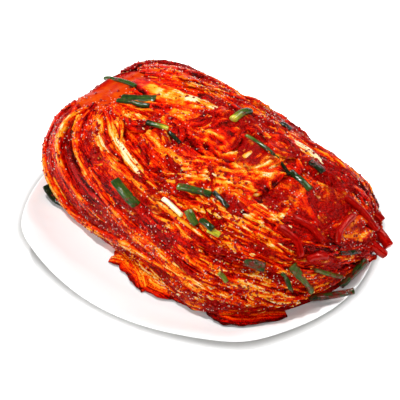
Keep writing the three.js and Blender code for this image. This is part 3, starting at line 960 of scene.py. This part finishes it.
# How much of the width, thickness and lift above is built, what is added to the lift, and how square
# the section is: 2 is round
onionRod = {"width": 0.88, "thickness": 0.8, "lift": 0.3, "raise": 0.0, "squareness": 2.0}
radishRod = {"width": 0.8, "thickness": 0.8, "lift": 0.3, "raise": 0.2, "squareness": 3.2}

leafLayers = ("shownLeaves", "leafShreds", "crownShreds", "tipLeaves")
leafTrees = []  # what rays are cast at, to lay things on the leaves
for name in (*leafLayers, "nearLeaves", "farLeaves", "cutCore", "heart"):
    bm = bmesh.new()
    bm.from_mesh(bpy.data.objects[name].data)
    leafTrees.append(BVHTree.FromBMesh(bm))
    bm.free()
rayHeight = 25  # rays start this far above the heap


def onLeaves(place, width):
    # where something laid on the heap at a place comes to rest, in millimetres
    x, y, *height = place
    ring = heapAt((x - headLow[0]) / headSize[0] + np.zeros(160), np.linspace(0.01, 0.99, 160))
    start = Vector((x, y, height[0] if height else np.interp(y, ring[:, 1], ring[:, 2])))
    out = (start - Vector((max(-80, min(80, x)), 22, 15))).normalized()
    rises = []
    for dx, dy in ((0, 0), (1, 0), (-1, 0), (0, 1), (0, -1)):
        above = start + out * rayHeight + Vector((dx, dy, 0)) * width * 0.3
        hits = [tree.ray_cast(above * mm, -out, (rayHeight + 10) * mm)[3] for tree in leafTrees]
        rises.append(max([rayHeight - hit / mm for hit in hits if hit is not None], default=-4))
    rise = max(sorted(rises)[3], 0 if height else -4)
    return start + out * rise, out


def makeRod(name, slot, material, rod, seed, path, width, thickness, lift, *tones):
    bm = newMesh()
    width, thickness = width * rod["width"], thickness * rod["thickness"]
    lift = lift * rod["lift"] + rod["raise"]
    points = []
    for place in spline(np.array(path, float), np.linspace(0, 1, 6)):
        seat, out = onLeaves(place, width)
        seat += out * lift
        seat.z = max(seat.z, float(plateTopAt(np.array(seat.x), np.array(seat.y))) + thickness / 2 + 0.8)
        points.append(seat)
    points = np.array(points, float)
    points[1:-1] = 0.5 * points[1:-1] + 0.25 * (points[:-2] + points[2:])
    length = lengthOf(points)
    verts, ball = newBall(bm, 20, int(np.clip(length / 1.4, 14, 40)))
    t = (1 - ball[:, 2]) / 2
    turn = np.arctan2(ball[:, 1], ball[:, 0])
    ahead = unit(headingOn(points, t, 0.03))
    side = unit(together(ahead[:, 1], -ahead[:, 0], 0))
    up = np.cross(side, ahead)
    ring = np.clip(np.hypot(ball[:, 0], ball[:, 1]) * 2.6, 0, 1) ** 0.5
    power = 2 / rod["squareness"]
    cosine, sine = np.cos(turn), np.sin(turn)
    flat = together(t * length, turn * 2, 0)
    girth = ring * (1 + 0.1 * bumps(flat, 5, seed))
    out = side * (np.sign(cosine) * np.abs(cosine) ** power * girth * width / 2)[:, None]
    out += up * (np.sign(sine) * np.abs(sine) ** power * girth * thickness / 2)[:, None]
    place = spline(points, t) + out + up * (0.5 * bumps(flat, 11, seed + 2))[:, None]
    tone = tones[0] + (tones[1] - tones[0]) * t
    space = together(t * length * mm + seed, turn * width / 2 * mm, seed * 0.7)
    pasty = 0.11 * smoothStep(points[0, 0], 60, 80)  # more paste sticks at the tips
    setVerts(bm, verts, place, space, together(tone, pasty, ring))
    bmesh.ops.recalc_face_normals(bm, faces=bm.faces)
    finishPiece(name + "_piece", bm, material, slot, (name,))


for seed, (name, (slot, *values)) in enumerate(onions.items(), 20):
    makeRod(name, slot, onionFinish, onionRod, seed, *values)
for seed, (name, values) in enumerate(radishes.items(), 60):
    makeRod(name, "radish", radishFinish, radishRod, seed, *values, 0.5, 0.5)
print("onion and radish made")


# Leaf ends that lie on the plate. name: (path in plan, width along it, paleness along it)
looseEnds = {
    "leaf_end_front": (
        ((62, -72), (72, -79), (84, -78), (99, -68), (114, -53)),
        *((14, 17, 19, 17, 10), (0.34, 0.4, 0.5, 0.45)),
    ),
    "leaf_end_left": (((-34, -76), (-24, -73), (-14, -67), (-6, -60)), (8, 11, 11, 8), (0.74, 0.76, 0.7)),
    "leaf_end_corner": (((-32, -60), (-16, -68), (-1, -77), (12, -87)), (14, 21, 21, 12), (0.5, 0.62, 0.6)),
    "leaf_end_between": (
        ((-34, -61), (-10, -71), (14, -78), (40, -77)),
        *((16, 24, 25, 14), (0.6, 0.7, 0.62)),
    ),
    "leaf_end_beneath": (((8, -68), (28, -74), (48, -76), (66, -71)), (16, 20, 20, 14), (0.6, 0.66, 0.5)),
}


def makeLooseEnd(name, path, width, pale, seed):
    bm = newMesh()
    path = np.array(path, float)
    length = lengthOf(path)
    verts, t, v = newGrid(bm, int(length / 1.5), 14)
    ahead = unit(headingOn(path, t, 0.03))
    half = spline(width, t)[:, 0] / 2
    half *= 1 + 0.3 * bumps(together(t * length, np.sign(v) * 30, t), 6, seed)
    x, y = (spline(path, t) + together(-ahead[:, 1], ahead[:, 0]) * (half * v)[:, None]).T
    crinkles = together(t * length * 0.6, v * half, t)
    wave = bumps(crinkles, 7, seed + 1) + 0.6 * bumps(crinkles, 3, seed + 2)
    taper = smoothStep(t, 0, 0.15) * (1 - smoothStep(t, 0.8, 1))
    lift = 1.4 + (1 + 3.2 * (1 - np.abs(v) ** 2) + 1.4 * wave) * (0.15 + 0.85 * taper)
    points = together(x, y, plateTopAt(x, y) + np.maximum(lift, 1.4))
    # paler where the crinkles rise: a painted highlight on their crests
    pale = spline(pale, t)[:, 0] + 0.08 * wave
    space = together(t * length * mm + seed, v * half * mm, seed * 0.5)
    # the third number darkens the edges in the material, partly red edges and partly painted shade, as on
    # the heap's leaves
    setVerts(bm, verts, points, space, together(pale, -0.05, np.abs(v) ** 2.5))
    nodes = (name,) if name in ("leaf_end_front", "leaf_end_left") else ()
    finishPiece(name + "_piece", bm, leafFinish, "leaf", nodes, 1.2)


for seed, (name, end) in enumerate(looseEnds.items()):
    makeLooseEnd(name, *end, 700 + seed)
print("leaf ends made")


def scatter(name, count, size, thick, colour, roughness, seed, keep):
    # grains on the leaves: keep says how likely one is to stay where it falls
    material, tree, shader = newMaterial(name, roughness, 0.5, 0.08)
    place = wire(tree, "ShaderNodeTexCoord", {}).outputs["Object"]
    shade = speckle(tree, place, 300.0, 2.0, 0.6)
    dark = [0.7 * part for part in colour]
    tree.links.new(ramp(tree, shade, ((0.35, dark), (0.65, colour))), shader.inputs["Base Color"])
    draw = random.Random(seed)
    bm = newMesh()
    made = 0
    while made < count:
        along, around = draw.uniform(0.03, 0.98), draw.uniform(0.02, 0.98)
        if draw.random() > keep(along, around):
            continue
        made += 1
        start, out = map(Vector, seatAt(along, around))
        found = [leafTree.ray_cast((start + out * 14) * mm, -out) for leafTree in leafTrees]
        found = [one for one in found if one[0]]
        if not found:
            continue
        hit, normal = min(found, key=lambda one: one[3])[:2]
        if normal.dot(out) < 0:
            normal = -normal
        long = draw.uniform(*size) / 2 * mm
        tilt = (normal + Vector([draw.uniform(-0.4, 0.4) for _ in range(3)])).normalized()
        wide = long * draw.uniform(0.5, 0.85)
        turn = tilt.to_track_quat("Z", "X").to_matrix() @ Matrix.Rotation(draw.uniform(0, math.tau), 3, "Z")
        for vert in bmesh.ops.create_icosphere(bm, subdivisions=1, radius=1)["verts"]:
            vert.co = turn @ (vert.co * Vector((long, wide, thick * mm))) + hit
    finishPiece(name, bm, material, "leaf")


def towardsTips(along, around):
    return 0.25 + 0.75 * along


def inClumps(along, around):
    return 0.15 + 0.85 * (noise.noise(Vector((along * 11, around * 9, 4.5))) > 0.02)


# name, how many, least and greatest length, thickness, colour, roughness, seed, where
scatter("pasteLumps", 1300, (1.8, 4.0), 1.0, (186, 10, 4), 0.1, 4, inClumps)
scatter("chilliFlakes", 1500, (1.2, 2.6), 0.3, (190, 8, 2), 0.15, 5, towardsTips)
scatter("chilliSeeds", 500, (1.1, 2.0), 0.4, (250, 176, 70), 0.2, 6, inClumps)
# white bits: partly garlic, partly painted glints, small white specks that stand in for the sparkle of the
# wet sauce
scatter("garlicBitsAndPaintedGlints", 2200, (0.7, 1.6), 0.5, (255, 232, 214), 0.1, 7, inClumps)
print("flakes and seeds made")


# Where the camera looks and stands, and where the painted shadow on the floor lies and fades around the
# plate
stage = {
    "target": (-22, 33, 0),
    "turn": 34.5,
    "height": 40,
    "distance": 820,
    "lens": 85,
    # shade, fade, dark and bright: the painted shadow's middle, moved to suit the camera, where it fades
    # out, and the floor's colour in it and beyond it
    "shade": (-12.5, 18),
    "fade": (1.02, 1.135),
    "dark": (0.42, 0.41, 0.4, 1),
    "bright": (0.93, 0.93, 0.93, 1),
}

# Lights: name, place and size in metres, power; all are aimed at one point
lightAim = (0, 0, 0.03)
lights = (
    ("keyLight", (-0.5, 0.05, 1.0), 0.09, 8.5),
    ("backLight", (0.1, 0.75, 0.8), 0.3, 4),
    ("cameraLight", (0.35, -0.75, 0.8), 0.07, 4.3),
    ("leftLight", (-0.75, -0.75, 0.55), 0.06, 2.7),
    ("rightLight", (0.95, 0.25, 0.55), 0.06, 2.2),
)


def makeStage():
    # the floor is white, with a painted shadow close beside the plate: darker there and without its glow
    bm = newMesh()
    verts, t, v = newGrid(bm, 128, 40)
    turn, share = math.pi * (2 * t - 1), 1.5 * (v + 1) / 2
    away = np.where(share > 1.45, 60, share)  # the outermost ring lies far out
    reach = outlineRadius(turn) * away
    middle = plateMiddle[:2] + stage["shade"]
    points = together(reach * np.cos(turn) + middle[0], reach * np.sin(turn) + middle[1], 0)
    setVerts(bm, verts, points, 0 * points, together(away, away, away))
    material, tree, shader = newMaterial("paleFloorPaintedShadow", 0.7)
    shader.inputs["Emission Color"].default_value = (1, 1, 1, 1)
    clear = within(tree, meshInputs(tree)[1][0], *stage["fade"])
    tree.links.new(maths(tree, "MULTIPLY", clear, 0.8), shader.inputs["Emission Strength"])
    colour = mixed(tree, clear, stage["dark"], stage["bright"])
    tree.links.new(colour, shader.inputs["Base Color"])
    floor = meshInScene("floor", bm, material)
    floor.location.z = -0.0002
    floor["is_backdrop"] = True


def addLight(name, place, size, power):
    light = bpy.data.lights.new(name, "AREA")
    light.shape = "DISK"
    light.size = size
    light.energy = power
    lamp = inScene(name, light)
    lamp.location = place
    lamp.rotation_euler = (Vector(lightAim) - Vector(place)).to_track_quat("-Z", "Y").to_euler()


def makeCamera():
    turn, height = math.radians(stage["turn"]), math.radians(stage["height"])
    level = math.cos(height)
    back = Vector((math.sin(turn) * level, -math.cos(turn) * level, math.sin(height)))
    view = bpy.data.cameras.new("camera")
    view.lens = stage["lens"]
    view.sensor_width = 36
    camera = inScene("camera", view)
    camera.location = (Vector(stage["target"]) + back * stage["distance"]) * mm
    camera.rotation_euler = back.to_track_quat("Z", "Y").to_euler()
    bpy.context.scene.camera = camera


makeStage()
makeCamera()
for name, place, size, power in lights:
    addLight(name, place, size, power)
world = bpy.data.worlds.new("studio")
world.use_nodes = True
sky = world.node_tree.nodes["Background"].inputs
sky["Color"].default_value = (1, 1, 1, 1)
sky["Strength"].default_value = 0.1
bpy.context.scene.world = world
bpy.context.scene.view_settings.view_transform = "Standard"
print("stage set")

bounds = [[list(map(float, corner)) for corner in box] for box in (cadBounds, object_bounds())]
